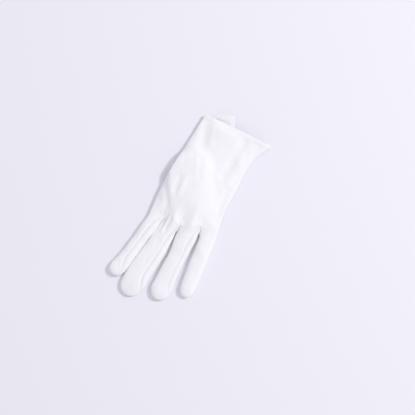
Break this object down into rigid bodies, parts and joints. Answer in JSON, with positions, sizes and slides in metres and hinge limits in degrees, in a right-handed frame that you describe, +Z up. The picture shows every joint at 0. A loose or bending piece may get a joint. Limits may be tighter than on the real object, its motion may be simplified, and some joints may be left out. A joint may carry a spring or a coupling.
{
  "type": "cotton dress glove",
  "caption": "White cotton dress glove for the left hand, lying flat on its palm, with side strips between the fingers and a vent in the palm at the wrist.",
  "frame": {"origin": "below the middle of the whole glove, on the surface it lies on", "axes": "fingers point along -Y, cuff at +Y, index finger on the -X side, +Z up through the back of the hand"},
  "size_m": [0.1204, 0.2488, 0.0168],
  "materials": {
    "cotton": "matt knitted cotton"
  },
  "bodies": {
    "root": {"back_panel": "cotton", "palm_panel": "cotton", "fourchette_index_middle": "cotton", "fourchette_middle_ring": "cotton", "fourchette_ring_little": "cotton", "thumb": "cotton"}
  },
  "joints": []
}
